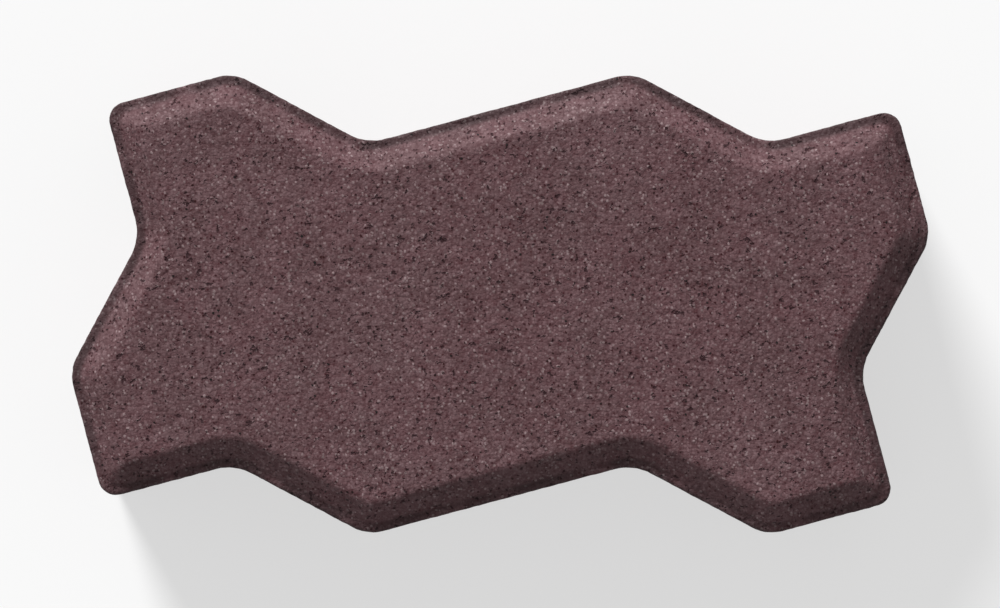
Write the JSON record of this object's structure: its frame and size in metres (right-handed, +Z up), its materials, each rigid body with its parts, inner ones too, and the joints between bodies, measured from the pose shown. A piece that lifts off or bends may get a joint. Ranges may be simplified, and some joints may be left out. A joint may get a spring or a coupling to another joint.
{
  "type": "paving stone",
  "caption": "Interlocking concrete paving stone with zigzag sides and a chamfered top, laid in half-bond rows on a sand bed for paths, yards and drives.",
  "frame": {"origin": "on the bed face, under the middle of the stone", "axes": "+X along the stone's length, +Y across it, +Z up from the bed face to the walking face"},
  "size_m": [0.2414, 0.129, 0.06],
  "materials": {
    "concrete": "matte, fine-grained, pigmented brown-red"
  },
  "bodies": {
    "root": {"paving_stone": "concrete"}
  },
  "joints": []
}
